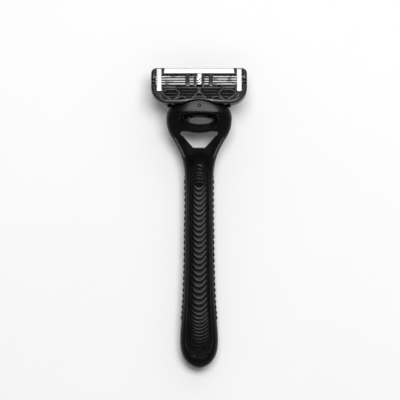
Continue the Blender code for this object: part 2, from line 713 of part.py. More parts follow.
def make_cartridge(joint):
    frame = on_pivot(make_cartridge_frame())
    # cam tab behind the frame, pressed by the plunger; it stands square to the plunger
    tab = box((-TAB_HALF_WIDTH, TAB_HALF_WIDTH), (1.8, 3.6), (-5.4, -2.0))
    tab.data.transform(Matrix.Rotation(FACE_TILT, 4, "X"))
    publish(join(frame, tab), "cartridge_frame", "black_plastic", joint)

    guard_x = (-GUARD_HALF_WIDTH, GUARD_HALF_WIDTH)
    guard = box(guard_x, GUARD_U, (-0.45, -0.05))
    fin_count = 5
    for k in range(fin_count):
        u = GUARD_U[0] + 0.6 + k * 1.25
        join(guard, box(guard_x, (u - 0.2, u + 0.2), (-0.3, 0.15)))
    publish(on_pivot(guard), "guard_fins", "black_rubber", joint)

    # bright post over the middle of the blades, with a slanted free end
    post = [(POST_HALF_WIDTH, BAR_U[1]), (-POST_HALF_WIDTH, BAR_U[1])]
    post += [(-POST_HALF_WIDTH, 7.5), (POST_HALF_WIDTH, 8.1)]
    post = prism(post, *BAR_N)
    post_x = (-POST_HALF_WIDTH, POST_HALF_WIDTH)
    join(post, box(post_x, (WINDOW_U[1] + 0.02, BAR_U[1]), (0.01, BAR_N[0] + 0.05)))
    publish(on_pivot(post), "centre_post", "clip_aluminium", joint)

    strip = rounded(box((-STRIP_HALF_WIDTH, STRIP_HALF_WIDTH), STRIP_U, (-0.5, 0.35)), 0.15)
    publish(on_pivot(strip), "lubricating_strip", "white_strip", joint)

    back = Vector((math.cos(BLADE_ANGLE), -math.sin(BLADE_ANGLE)))
    across = Vector((math.sin(BLADE_ANGLE), math.cos(BLADE_ANGLE)))
    half_thickness = 0.07
    ends = (-BLADE_HALF_LENGTH, BLADE_HALF_LENGTH)
    for k in range(BLADE_COUNT):
        edge = Vector((FIRST_BLADE_U + BLADE_PITCH * k, 0.0))
        outline = [edge]
        outline += [edge + back * 0.35 - across * half_thickness]
        outline += [edge + back * 1.2 - across * half_thickness]
        outline += [edge + back * 1.2 + across * half_thickness]
        outline += [edge + back * 0.35 + across * half_thickness]
        blade = prism([tuple(p) for p in outline], *ends, "YZ")
        publish(on_pivot(blade), "blade_%d" % (k + 1), "blade_steel", joint)
        heel = edge + back * 1.05 - across * 0.25
        toe = edge + back * 0.5 - across * 0.25
        foot = Vector((heel.x, -3.3))
        path = [tuple(toe), tuple(heel), tuple(foot)]
        support = prism(thick_path(path, 0.24), *ends, "YZ")
        publish(on_pivot(support), "blade_support_%d" % (k + 1), "spring_steel", joint)

    low, high = CLIP_U
    top_n = 0.3
    under_n = -CARTRIDGE_DEPTH - 0.3
    path = [(low + 1.4, under_n), (low, under_n), (low, top_n)]
    path += [(high, top_n), (high, under_n), (high - 1.4, under_n)]
    for side, word in ((-1.0, "left"), (1.0, "right")):
        ends = sorted((side * (CLIP_X - CLIP_WIDTH / 2), side * (CLIP_X + CLIP_WIDTH / 2)))
        clip = prism(thick_path(path, 0.3), *ends, "YZ")
        publish(on_pivot(clip), "clip_" + word, "clip_aluminium", joint)


clear_scene()
parts = new_collection(RAZOR)
make_handle_core()
make_grips()
make_head_covers()
make_eject_button()
make_plunger()
connector_joint = make_connector()
pivot_joint = empty_at("cartridge_pivot", (0.0, PIVOT_Y, PIVOT_Z), (-FACE_TILT, 0.0, 0.0))
make_cartridge(pivot_joint)
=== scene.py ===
import json
import math

import bmesh
import bpy
import numpy as np
from mathutils import Matrix, Vector


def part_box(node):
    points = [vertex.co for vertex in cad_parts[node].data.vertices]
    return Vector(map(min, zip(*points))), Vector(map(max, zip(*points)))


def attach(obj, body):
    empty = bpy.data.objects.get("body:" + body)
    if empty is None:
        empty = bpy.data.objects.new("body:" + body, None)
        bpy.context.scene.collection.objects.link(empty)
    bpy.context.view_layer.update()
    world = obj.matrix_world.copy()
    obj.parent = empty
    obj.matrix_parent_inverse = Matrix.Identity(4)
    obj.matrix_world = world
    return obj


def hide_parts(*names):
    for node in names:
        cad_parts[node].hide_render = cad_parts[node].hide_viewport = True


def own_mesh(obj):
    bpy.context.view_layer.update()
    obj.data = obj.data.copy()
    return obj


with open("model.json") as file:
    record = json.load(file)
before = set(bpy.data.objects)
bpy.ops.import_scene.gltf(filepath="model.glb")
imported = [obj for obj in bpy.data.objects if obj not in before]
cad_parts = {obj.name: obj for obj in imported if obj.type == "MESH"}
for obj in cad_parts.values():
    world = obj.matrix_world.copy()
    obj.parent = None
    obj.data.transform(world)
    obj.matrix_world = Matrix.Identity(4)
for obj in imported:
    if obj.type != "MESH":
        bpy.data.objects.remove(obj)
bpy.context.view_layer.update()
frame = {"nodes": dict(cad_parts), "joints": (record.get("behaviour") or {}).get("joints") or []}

MM = 0.001
joints = {joint["name"]: joint for joint in frame["joints"]}

# ------------------------------------------------------------------ design values, mm

SECTION_POWER = 2.6
# Y, half width, top, bottom of the handle's rounded section
HANDLE_STATIONS = np.array((
    (-66.0, 0.9, 6.6, 4.4),
    (-65.6, 2.3, 7.4, 3.5),
    (-64.9, 3.6, 8.2, 2.7),
    (-64.0, 4.9, 8.9, 2.0),
    (-62.3, 6.35, 9.7, 1.3),
    (-60.3, 7.4, 10.2, 0.85),
    (-57.5, 8.15, 10.7, 0.55),
    (-53.5, 8.45, 11.1, 0.35),
    (-49.1, 8.25, 11.3, 0.3),
    (-44.8, 7.85, 11.4, 0.3),
    (-40.4, 7.5, 11.4, 0.3),
    (-36.0, 7.15, 11.4, 0.3),
    (-27.0, 6.8, 11.4, 0.3),
    (-18.5, 6.55, 11.4, 0.3),
    (-5.4, 6.37, 11.4, 0.3),
    (8.0, 6.22, 11.4, 0.3),
    (15.0, 6.3, 11.5, 0.6),
    (20.0, 6.5, 11.7, 1.2),
    (23.6, 6.95, 11.9, 2.0),
    (27.1, 7.87, 12.2, 2.9),
    (30.6, 9.35, 12.8, 4.0),
    (34.1, 11.3, 13.8, 5.1),
    (35.9, 12.4, 14.5, 5.6),
    (37.6, 13.27, 15.2, 6.0),
    (39.4, 13.87, 15.9, 6.35),
    (41.1, 14.24, 16.6, 6.6),
    (43.3, 14.41, 17.5, 6.85),
    (45.5, 14.2, 18.2, 7.0),
    (46.6, 13.85, 18.35, 7.1),
    (47.25, 13.6, 18.3, 7.15),
    (48.6, 12.95, 18.1, 7.3),
    (49.9, 12.1, 17.85, 7.5),
    (51.6, 10.6, 17.45, 8.0),
))

HOOD_EDGE_Y = 45.8
HOOD_EDGE_RADIUS = 34.0
MOUTH_Y = 48.3
TIP_END_Y = 52.1
CAVITY_TOP = 16.3
CAVITY_HALF_WIDTH = 8.6
BUTTON_WELL_HALF_WIDTH = 7.75
PLUNGER_Z = 12.2
PLUNGER_BORE_RADIUS = 1.7
RETURN_SPRING_X = 4.6
RETURN_SPRING_Z = 12.6

PIVOT = np.array([0.0, *joints["cartridge_pivot"]["pos_m"][1:]]) / MM
PIVOT_U = 1.6
PIVOT_N = -2.6
FACE_TILT = math.radians(22.0)

# the cartridge in its own plane: x across, u up its face, n out of the face
CARTRIDGE_HALF_WIDTH = 21.0
CARTRIDGE_U = (-1.0, 15.8)
CLIP_X = (16.5, 18.55)
CLIP_U = (4.45, 14.95)
FIRST_BLADE_U = 7.65
BLADE_PITCH = 1.15
BLADE_COUNT = 4
BLADE_ANGLE = math.radians(22.0)
BLADE_HALF_LENGTH = 19.0
BLADE_HALF_THICKNESS = 0.06
BEVEL_WIDTH = 0.3
BLADE_WIDTH = 0.64
BAR_N = (0.06, 0.3)

SIDES = ((-1.0, "left"), (1.0, "right"))


# ------------------------------------------------------------------ mesh helpers


def smooth_profile(places, values):
    """A smooth curve through values at places, without overshoot."""
    steps = np.diff(places)
    slopes = np.diff(values) / steps
    tangents = np.zeros(len(values))
    tangents[0], tangents[-1] = slopes[0], slopes[-1]
    for k in range(1, len(values) - 1):
        a, b = slopes[k - 1], slopes[k]
        if a * b > 0.0:
            tangents[k] = 2.0 * a * b / (a + b)

    def at(y):
        y = np.clip(np.asarray(y, float), places[0], places[-1])
        k = np.clip(np.searchsorted(places, y) - 1, 0, len(steps) - 1)
        t = (y - places[k]) / steps[k]
        h00 = (1 + 2 * t) * (1 - t) ** 2
        h10 = t * (1 - t) ** 2
        h01 = t * t * (3 - 2 * t)
        h11 = t * t * (t - 1)
        return (
            h00 * values[k]
            + h10 * steps[k] * tangents[k]
            + h01 * values[k + 1]
            + h11 * steps[k] * tangents[k + 1]
        )

    return at


half_width = smooth_profile(HANDLE_STATIONS[:, 0], HANDLE_STATIONS[:, 1])
top_line = smooth_profile(HANDLE_STATIONS[:, 0], HANDLE_STATIONS[:, 2])
bottom_line = smooth_profile(HANDLE_STATIONS[:, 0], HANDLE_STATIONS[:, 3])


def section_height(x, y):
    """Half height of the handle's section at x, and the section's middle."""
    share = np.clip(np.abs(x) / half_width(y), 0.0, 1.0)
    rise = (1.0 - share**SECTION_POWER) ** (1.0 / SECTION_POWER)
    middle = (top_line(y) + bottom_line(y)) / 2
    return middle, (top_line(y) - bottom_line(y)) / 2 * rise


def front_z(x, y):
    middle, half = section_height(x, y)
    return middle + half


def side_x(y, z):
    """Half width of the handle's section at height z."""
    middle = (top_line(y) + bottom_line(y)) / 2
    half = (top_line(y) - bottom_line(y)) / 2
    share = np.clip(np.abs(z - middle) / half, 0.0, 1.0)
    return half_width(y) * (1.0 - share**SECTION_POWER) ** (1.0 / SECTION_POWER)


def smoothstep(x):
    x = np.clip(x, 0.0, 1.0)
    return x * x * (3 - 2 * x)


def mesh_object(name, points, faces):
    mesh = bpy.data.meshes.new(name)
    mesh.from_pydata((np.asarray(points) * MM).tolist(), [], faces)
    made = bpy.data.objects.new(name, mesh)
    bpy.context.scene.collection.objects.link(made)
    return made


def object_from(bm, name="tool"):
    mesh = bpy.data.meshes.new(name)
    bm.to_mesh(mesh)
    bm.free()
    made = bpy.data.objects.new(name, mesh)
    bpy.context.scene.collection.objects.link(made)
    return made


def tidy(piece, distance=0.001):
    """Merges points that coincide and turns the faces outwards."""
    bm = bmesh.new()
    bm.from_mesh(piece.data)
    bmesh.ops.remove_doubles(bm, verts=bm.verts, dist=distance * MM)
    bmesh.ops.recalc_face_normals(bm, faces=bm.faces)
    bm.to_mesh(piece.data)
    bm.free()
    return piece


def slab(name, top, bottom):
    """A closed solid between two grids of points that share their layout."""
    rows, columns = top.shape[:2]
    points = np.concatenate([top.reshape(-1, 3), bottom.reshape(-1, 3)])
    under = rows * columns
    faces = []
    for i in range(rows - 1):
        for j in range(columns - 1):
            a = i * columns + j
            b = a + columns
            faces.append((a, a + 1, b + 1, b))
            faces.append((under + a, under + b, under + b + 1, under + a + 1))
    ring = list(range(columns))
    ring += [i * columns + columns - 1 for i in range(1, rows)]
    ring += [(rows - 1) * columns + j for j in range(columns - 2, -1, -1)]
    ring += [i * columns for i in range(rows - 2, 0, -1)]
    for a, b in zip(ring, ring[1:] + ring[:1]):
        faces.append((a, under + a, under + b, b))
    return tidy(mesh_object(name, points, faces))


def loft(name, rings):
    """A closed body through rings of points, capped at both ends."""
    count = len(rings[0])
    points = np.concatenate(rings)
    faces = [tuple(range(count))]
    for i in range(len(rings) - 1):
        for k in range(count):
            a = i * count + k
            b = i * count + (k + 1) % count
            faces.append((a, b, b + count, a + count))
    last = (len(rings) - 1) * count
    faces.append(tuple(range(last + count - 1, last - 1, -1)))
    return tidy(mesh_object(name, points, faces))


def on_side(side, near, far):
    """The x range between two distances from the middle, on one side of it."""
    return sorted((side * near, side * far))


def box(x_range, y_range, z_range):
    ranges = (x_range, y_range, z_range)
    size = [(high - low) * MM for low, high in ranges]
    centre = [(high + low) / 2 * MM for low, high in ranges]
    bm = bmesh.new()
    bmesh.ops.create_cube(bm, size=1.0, matrix=Matrix.Translation(centre) @ Matrix.Diagonal((*size, 1.0)))
    return object_from(bm)


def prism(outline, low, high, axes="XY"):
    """An outline given thickness from low to high along the third axis."""
    count = len(outline)
    points = []
    for level in (low, high):
        for a, b in outline:
            points.append({"XY": (a, b, level), "YZ": (level, a, b), "XZ": (a, level, b)}[axes])
    faces = [tuple(range(count)), tuple(range(2 * count - 1, count - 1, -1))]
    for k in range(count):
        after = (k + 1) % count
        faces.append((k, k + count, after + count, after))
    return tidy(mesh_object("tool", points, faces), 0.0001)


def arc(start, middle, end, steps=10):
    """Points of the round arc through three points."""
    (x1, y1), (x2, y2), (x3, y3) = start, middle, end
    d = 2.0 * (x1 * (y2 - y3) + x2 * (y3 - y1) + x3 * (y1 - y2))
    s1, s2, s3 = x1 * x1 + y1 * y1, x2 * x2 + y2 * y2, x3 * x3 + y3 * y3
    cx = (s1 * (y2 - y3) + s2 * (y3 - y1) + s3 * (y1 - y2)) / d
    cy = (s1 * (x3 - x2) + s2 * (x1 - x3) + s3 * (x2 - x1)) / d
    radius = math.hypot(x1 - cx, y1 - cy)
    first = math.atan2(y1 - cy, x1 - cx)
    half = math.remainder(math.atan2(y2 - cy, x2 - cx) - first, 2.0 * math.pi)
    rest = math.remainder(math.atan2(y3 - cy, x3 - cx) - first - half, 2.0 * math.pi)
    sweep = half + rest
    points = []
    for k in range(steps + 1):
        angle = first + sweep * k / steps
        points.append((cx + radius * math.cos(angle), cy + radius * math.sin(angle)))
    return points


def circle(centre, radius, count):
    """Points evenly spaced round a circle."""
    points = []
    for k in range(count):
        angle = 2.0 * math.pi * k / count
        points.append((centre[0] + radius * math.cos(angle), centre[1] + radius * math.sin(angle)))
    return points


def mirrored(half):
    """A right-hand outline closed by its own mirror image."""
    return half + [(-x, y) for x, y in reversed(half) if x > 0.0]


def flowing(points, steps=8):
    """A smooth line through a few points."""
    line = np.array(points, float)
    padded = np.vstack([2 * line[0] - line[1], line, 2 * line[-1] - line[-2]])
    out = []
    for k in range(1, len(padded) - 2):
        p0, p1, p2, p3 = padded[k - 1 : k + 3]
        for j in range(steps):
            t = j / steps
            out.append(
                0.5 * (2 * p1 + (p2 - p0) * t + (2 * p0 - 5 * p1 + 4 * p2 - p3) * t * t
                       + (3 * p1 - p0 - 3 * p2 + p3) * t**3)
            )
    out.append(line[-1])
    return [tuple(p) for p in out]


def thick_path(points, thickness):
    """The outline of a bent strip along a centre line."""
    line = np.array(points, float)
    direction = np.gradient(line, axis=0)
    direction[0] = line[1] - line[0]
    direction[-1] = line[-1] - line[-2]
    direction /= np.linalg.norm(direction, axis=1)[:, None]
    normal = np.column_stack([-direction[:, 1], direction[:, 0]])
    left = line + normal * thickness / 2
    right = line - normal * thickness / 2
    return [tuple(p) for p in np.vstack([left, right[::-1]])]


def evaluated(piece):
    """Replaces the piece's mesh with what its modifiers make of it."""
    bpy.context.view_layer.update()
    graph = bpy.context.evaluated_depsgraph_get()
    mesh = bpy.data.meshes.new_from_object(piece.evaluated_get(graph))
    piece.modifiers.clear()
    piece.data = mesh
    return piece


def combine(target, tool, operation, solver="EXACT"):
    modifier = target.modifiers.new("combine", "BOOLEAN")
    modifier.operation = operation
    modifier.solver = solver
    modifier.object = tool
    evaluated(target)
    bpy.data.objects.remove(tool, do_unlink=True)
    return target


def cut(target, *tools, solver="EXACT"):
    for tool in tools:
        combine(target, tool, "DIFFERENCE", solver)
    return target


def join(target, *tools, solver="EXACT"):
    for tool in tools:
        combine(target, tool, "UNION", solver)
    return target


def merge(name, members):
    """Several meshes as one piece, each kept whole."""
    bm = bmesh.new()
    for member in members:
        bm.from_mesh(member.data)
        bpy.data.objects.remove(member, do_unlink=True)
    return object_from(bm, name)


def rounded(target, width, segments=2, angle=40.0):
    modifier = target.modifiers.new("round", "BEVEL")
    modifier.width = width * MM
    modifier.segments = segments
    modifier.limit_method = "ANGLE"
    modifier.angle_limit = math.radians(angle)
    return evaluated(target)


def soften(target, voxel, passes):
    """Rounds every edge a little, as a mould does: an even remesh and a few smoothing passes."""
    remesh = target.modifiers.new("remesh", "REMESH")
    remesh.mode = "VOXEL"
    remesh.voxel_size = voxel * MM
    remesh.adaptivity = 0.0
    smooth = target.modifiers.new("smooth", "SMOOTH")
    smooth.factor = 0.5
    smooth.iterations = passes
    return evaluated(target)


def tube(points, radius, resolution=3, taper=None):
    """A round bar along a line, as a mesh."""
    curve = bpy.data.curves.new("line", "CURVE")
    curve.dimensions = "3D"
    curve.bevel_depth = radius * MM
    curve.bevel_resolution = resolution
    curve.use_fill_caps = True
    spline = curve.splines.new("POLY")
    spline.points.add(len(points) - 1)
    for k, (point, place) in enumerate(zip(spline.points, points)):
        point.co = (*[value * MM for value in place], 1.0)
        if taper is not None:
            point.radius = taper(k / (len(points) - 1))
    line = bpy.data.objects.new("line", curve)
    bpy.context.scene.collection.objects.link(line)
    bpy.context.view_layer.update()
    graph = bpy.context.evaluated_depsgraph_get()
    mesh = bpy.data.meshes.new_from_object(line.evaluated_get(graph))
    made = bpy.data.objects.new("line", mesh)
    bpy.context.scene.collection.objects.link(made)
    bpy.data.objects.remove(line, do_unlink=True)
    return tidy(made)


# ------------------------------------------------------------------ materials


def blank(name):
    finish = bpy.data.materials.new(name)
    finish.use_nodes = True
    nodes = finish.node_tree.nodes
    links = finish.node_tree.links
    return finish, nodes, links, nodes["Principled BSDF"]


def noise(nodes, links, scale, detail=3.0, stretch=(1.0, 1.0, 1.0)):
    """Noise in the piece's own space; scale is features per metre."""
    place = nodes.new("ShaderNodeTexCoord")
    mapping = nodes.new("ShaderNodeMapping")
    mapping.inputs["Scale"].default_value = stretch
    texture = nodes.new("ShaderNodeTexNoise")
    texture.inputs["Scale"].default_value = scale
    texture.inputs["Detail"].default_value = detail
    links.new(place.outputs["Object"], mapping.inputs["Vector"])
    links.new(mapping.outputs["Vector"], texture.inputs["Vector"])
    return texture.outputs["Fac"]


def ranged(nodes, links, value, low, high, from_low=0.3, from_high=0.7):
    spread = nodes.new("ShaderNodeMapRange")
    spread.inputs["From Min"].default_value = from_low
    spread.inputs["From Max"].default_value = from_high
    spread.inputs["To Min"].default_value = low
    spread.inputs["To Max"].default_value = high
    links.new(value, spread.inputs["Value"])
    return spread.outputs["Result"]


def mixed(nodes, links, factor, first, second):
    mix = nodes.new("ShaderNodeMix")
    mix.data_type = "RGBA"
    mix.inputs["A"].default_value = (*first, 1.0)
    mix.inputs["B"].default_value = (*second, 1.0)
    links.new(factor, mix.inputs["Factor"])
    return mix


def bumped(nodes, links, height, shader, distance, strength=1.0, below=None):
    bump = nodes.new("ShaderNodeBump")
    bump.inputs["Strength"].default_value = strength
    bump.inputs["Distance"].default_value = distance * MM
    links.new(height, bump.inputs["Height"])
    if below is not None:
        links.new(below, bump.inputs["Normal"])
    links.new(bump.outputs["Normal"], shader.inputs["Normal"])
    return bump.outputs["Normal"]


def moulded(
    name, colour, rough, grain_scale=5000.0, grain=0.012, spread=0.06, specular=0.5, edge_highlight=0.0
):
    """Moulded plastic or rubber: fine grain, uneven sheen, a painted highlight on convex edges, faint
    mottling.
    """
    finish, nodes, links, shader = blank(name)
    mottle = noise(nodes, links, 260.0, 4.0)
    light = tuple(value * 1.6 + 0.001 for value in colour)
    body = mixed(nodes, links, ranged(nodes, links, mottle, 0.0, 1.0), colour, light)
    # painted highlight: convex edges, found by pointiness, get a lighter colour, stronger for higher
    # values of the last argument
    edge = nodes.new("ShaderNodeNewGeometry")
    pointed = edge.outputs["Pointiness"]
    most = 0.35 + 0.65 * min(edge_highlight, 1.0)
    high = ranged(nodes, links, pointed, 0.0, most, 0.53 - 0.02 * edge_highlight, 0.62 - 0.06 * edge_highlight)
    painted_edge_highlight = nodes.new("ShaderNodeMix")
    painted_edge_highlight.data_type = "RGBA"
    painted_edge_highlight.inputs["B"].default_value = (*[value * 2.5 + 0.004 + 0.014 * edge_highlight for value in colour], 1.0)
    links.new(high, painted_edge_highlight.inputs["Factor"])
    links.new(body.outputs["Result"], painted_edge_highlight.inputs["A"])
    links.new(painted_edge_highlight.outputs["Result"], shader.inputs["Base Color"])
    uneven = noise(nodes, links, 900.0, 2.0)
    links.new(ranged(nodes, links, uneven, rough - spread, rough + spread), shader.inputs["Roughness"])
    fine = noise(nodes, links, grain_scale, 2.0)
    bumped(nodes, links, fine, shader, grain)
    shader.inputs["Specular IOR Level"].default_value = specular
    return finish


def metal(name, colour, rough, along=(1.0, 30.0, 30.0), scratch=0.004):
    """Rolled or ground metal with fine lines along one direction."""
    finish, nodes, links, shader = blank(name)
    shader.inputs["Metallic"].default_value = 1.0
    lines = noise(nodes, links, 400.0, 3.0, along)
    dark = tuple(value * 0.82 for value in colour)
    body = mixed(nodes, links, ranged(nodes, links, lines, 0.0, 1.0), dark, colour)
    links.new(body.outputs["Result"], shader.inputs["Base Color"])
    links.new(ranged(nodes, links, lines, rough - 0.05, rough + 0.08), shader.inputs["Roughness"])
    bumped(nodes, links, lines, shader, scratch)
    return finish


def ground_steel():
    """Blade steel: bright, with short dull patches left by the grinding and rinsing."""
    finish, nodes, links, shader = blank("blade_steel_ground")
    shader.inputs["Metallic"].default_value = 1.0
    patches = noise(nodes, links, 260.0, 1.5, (1.0, 3.0, 3.0))
    bright = ranged(nodes, links, patches, 0.0, 1.0, 0.38, 0.46)
    body = mixed(nodes, links, bright, (0.22, 0.22, 0.23), (0.72, 0.73, 0.75))
    links.new(body.outputs["Result"], shader.inputs["Base Color"])
    fine = noise(nodes, links, 3000.0, 2.0, (1.0, 0.2, 0.2))
    links.new(ranged(nodes, links, fine, 0.2, 0.34), shader.inputs["Roughness"])
    bumped(nodes, links, fine, shader, 0.003)
    return finish


def waxy_strip():
    """Pressed lubricating polymer: almost white, with faint streaks and a soft scatter."""
    finish, nodes, links, shader = blank("white_strip")
    streaks = noise(nodes, links, 500.0, 3.0, (0.3, 3.0, 3.0))
    pale = ranged(nodes, links, streaks, 0.0, 1.0)
    body = mixed(nodes, links, pale, (0.86, 0.88, 0.89), (0.95, 0.96, 0.96))
    links.new(body.outputs["Result"], shader.inputs["Base Color"])
    links.new(ranged(nodes, links, streaks, 0.42, 0.55), shader.inputs["Roughness"])
    shader.inputs["Subsurface Weight"].default_value = 0.15
    shader.inputs["Subsurface Radius"].default_value = (0.4 * MM, 0.4 * MM, 0.4 * MM)
    bumped(nodes, links, noise(nodes, links, 3500.0, 2.0), shader, 0.01)
    return finish


BLACK = (0.0016, 0.0016, 0.0018)
hard_plastic = moulded("hard_plastic", BLACK, 0.2, grain=0.003, spread=0.03, specular=0.15)
satin_plastic = moulded("satin_plastic", BLACK, 0.25, grain=0.002, spread=0.03, specular=0.165)
# the soft rubber takes the strongest painted highlight on its convex edges
soft_rubber = moulded("soft_rubber", BLACK, 0.24, 3500.0, 0.003, 0.03, 0.12, edge_highlight=1.0)
# a darker, duller copy of the soft rubber: painted shade on the side ribs and on the hood's ring mark
shade_dulled_rubber = moulded("shade_dulled_rubber", (0.0014, 0.0014, 0.0016), 0.35, 3500.0, 0.004, 0.03, 0.04)
frame_plastic = moulded(
    "frame_plastic", (0.003, 0.003, 0.0032), 0.26, grain=0.005, spread=0.04, specular=0.42
)
guard_rubber = moulded("guard_rubber", (0.014, 0.014, 0.0145), 0.4, 4000.0, 0.012)
# a darker copy of the guard rubber for the lower fins: painted shade
shaded_fin_rubber = moulded("shaded_fin_rubber", (0.004, 0.004, 0.0042), 0.4, 4000.0, 0.012, specular=0.3)
# a lighter, more specular plastic for the neck's raised edges: its light colour is a painted glint
neck_glint_plastic = moulded("neck_glint_plastic", (0.045, 0.045, 0.046), 0.32, grain=0.003, specular=0.9)
# a dull dark material for a sheet laid in the guard's well: painted shade
shade_sheet_plastic = moulded("shade_sheet_plastic", (0.0015, 0.0015, 0.0016), 0.6, grain=0.004, specular=0.1)
blade_steel = ground_steel()
support_steel = metal("support_steel_strip", (0.06, 0.06, 0.063), 0.4)
clip_metal = metal("clip_metal_rolled", (0.88, 0.89, 0.9), 0.3, (30.0, 1.0, 30.0))
spring_wire = metal("spring_wire_drawn", (0.6, 0.61, 0.63), 0.28, (5.0, 5.0, 5.0))
white_strip = waxy_strip()


def publish(piece, name, finish, slot, body, *nodes, smooth=38.0):
    """Names a finished piece, gives it its finish and hangs it on its body."""
    piece.name = name
    piece.data.name = name
    piece.data.materials.clear()
    piece.data.materials.append(finish)
    piece.data.shade_smooth()
    if smooth is not None:
        piece.data.set_sharp_from_angle(angle=math.radians(smooth))
    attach(piece, body)
    if nodes:
        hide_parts(*nodes)
    return piece


def refinish(node, finish):
    """Keeps a CAD node's shape and gives it a detailed finish."""
    piece = frame["nodes"][node]
    piece.data.materials.clear()
    piece.data.materials.append(finish)
    piece.data.shade_smooth()
    piece.data.set_sharp_from_angle(angle=math.radians(35.0))


# ------------------------------------------------------------------ handle


def section_ring(y, count=112, grow=0.0):
    angles = 2.0 * np.pi * np.arange(count) / count
    power = 2.0 / SECTION_POWER
    cosine, sine = np.cos(angles), np.sin(angles)
    width = half_width(y) + grow
    middle = (top_line(y) + bottom_line(y)) / 2
    height = (top_line(y) - bottom_line(y)) / 2
    x = np.sign(cosine) * np.abs(cosine) ** power * width
    z = middle + np.sign(sine) * np.abs(sine) ** power * height
    return np.column_stack([x, np.full(count, y), z])


def handle_blank():
    """The handle and head as one smooth body."""
    y_values = np.concatenate([
        -66.0 + 6.0 * (1.0 - np.cos(np.linspace(0.0, np.pi / 2, 22)))[:-1],
        np.arange(-60.0, 51.0, 0.5),
        [51.2, 51.6, 52.5],
    ])
    return loft("blank", [section_ring(y) for y in y_values])


def hood_outline(lift=0.0):
    edge = HOOD_EDGE_Y + lift
    side = 16.0
    drop = edge - side * side / (2.0 * HOOD_EDGE_RADIUS)
    return arc((side, drop), (0.0, edge), (-side, drop), 31) + [(-side, 60.0), (side, 60.0)]


def around_tip_outline():
    corner = (11.4, 49.75)
    tip = arc(corner, (0.0, TIP_END_Y), (-corner[0], corner[1]), 31)
    right = [(20.0, 48.6), (12.4, 48.6)]
    left = [(-x, y) for x, y in reversed(right)]
    return right + tip + left + [(-20.0, 60.0), (20.0, 60.0)]


def triangle_outline():
    half = arc((2.2, 30.9), (2.8, 31.05), (3.3, 31.6), 4) + [(5.5, 34.1)]
    half += arc((7.3, 36.1), (8.15, 37.45), (7.1, 38.0), 8)
    return mirrored(half)


def make_handle():
    body = handle_blank()
    tools = [prism(triangle_outline(), -5.0, 25.0)]
    tools += [prism(hood_outline(-0.12), 12.2, 30.0)]
    tools += [box((-20.0, 20.0), (MOUTH_Y, 60.0), (-5.0, 30.0))]
    cavity_x = (-CAVITY_HALF_WIDTH, CAVITY_HALF_WIDTH)
    tools += [box(cavity_x, (44.2, 60.0), (8.6, CAVITY_TOP))]
    well_x = (-BUTTON_WELL_HALF_WIDTH, BUTTON_WELL_HALF_WIDTH)
    tools += [box(well_x, (36.0, 60.0), (14.1, 30.0))]
    tools += [box((-8.0, 8.0), (41.0, 47.3), (0.0, 9.0))]
    cut(body, *tools, solver="MANIFOLD")
    nose = box((-6.4, 6.4), (43.0, 49.0), (10.0, 14.1))
    join(body, nose, solver="MANIFOLD")
    # the plunger's bore, a slot for each prong and a pocket for each return spring
    tools = [prism(circle((0.0, PLUNGER_Z), PLUNGER_BORE_RADIUS, 24), 39.6, 60.0, "XZ")]
    for side, _ in SIDES:
        prong_x = on_side(side, 6.5, BUTTON_WELL_HALF_WIDTH)
        tools.append(box(prong_x, (39.9, 50.0), (11.5, 30.0)))
        spring_x = on_side(side, RETURN_SPRING_X - 1.4, RETURN_SPRING_X + 1.4)
        tools.append(box(spring_x, (38.7, 44.3), (11.2, 30.0)))
    cut(body, *tools, solver="MANIFOLD")
    soften(body, 0.28, 6)
    publish(body, "handle_body", hard_plastic, "hard_black_plastic", "handle", "handle_core", smooth=None)


def make_hood():
    hood = handle_blank()
    combine(hood, prism(hood_outline(), 12.35, 30.0), "INTERSECT", "MANIFOLD")
    cavity_x = (-CAVITY_HALF_WIDTH, CAVITY_HALF_WIDTH)
    tools = [box(cavity_x, (30.0, 49.0), (8.6, CAVITY_TOP))]
    tools += [box((-20.0, 20.0), (MOUTH_Y, 60.0), (0.0, 14.7))]
    tools += [box(cavity_x, (48.0, 60.0), (8.6, CAVITY_TOP - 0.6))]
    tools += [prism(around_tip_outline(), 0.0, 30.0)]
    cut(hood, *tools, solver="MANIFOLD")
    soften(hood, 0.2, 5)
    slot = "satin_black_plastic"
    publish(hood, "hood", satin_plastic, slot, "handle", "head_front_cover", smooth=None)
    ring = circle((0.1, 49.3), 0.62, 32)
    # the ring is dull dark rubber: painted shade, as of a groove
    mark = tube([(x, y, float(front_z(x, y)) - 0.02) for x, y in ring + ring[:1]], 0.2)
    publish(mark, "hood_ring_mark", shade_dulled_rubber, slot, "handle")


def ellipse_ended(y, middle, top_end, top_run, bottom_end, bottom_run):
    """A half width that closes at both ends in an elliptical arch."""
    width = middle(np.clip(y, bottom_end + bottom_run, top_end - top_run))
    upper = np.clip((y - (top_end - top_run)) / top_run, 0.0, 1.0)
    lower = np.clip(((bottom_end + bottom_run) - y) / bottom_run, 0.0, 1.0)
    top_arch = np.sqrt(np.clip(1.0 - upper**2, 0.0, 1.0))
    bottom_arch = np.sqrt(np.clip(1.0 - lower**2, 0.0, 1.0))
    return width * top_arch * bottom_arch


inlay_middle = smooth_profile(
    np.array([-53.0, -45.0, -34.0, -15.0, 12.0, 18.2]),
    np.array([6.25, 5.95, 5.45, 5.1, 4.95, 4.7]),
)
groove_middle = smooth_profile(
    np.array([-53.0, -46.0, -36.0, -15.0, 12.0, 18.0]),
    np.array([5.2, 4.8, 4.15, 3.85, 3.75, 3.6]),
)


def inlay_width(y):
    return ellipse_ended(y, inlay_middle, 24.7, 6.5, -62.0, 8.9)


def groove_width(y):
    return ellipse_ended(y, groove_middle, 23.9, 5.9, -60.2, 8.0)


FIRST_CRESCENT_Y = 12.75
LAST_CRESCENT_Y = -58.5
SMALLEST_PITCH = 1.47


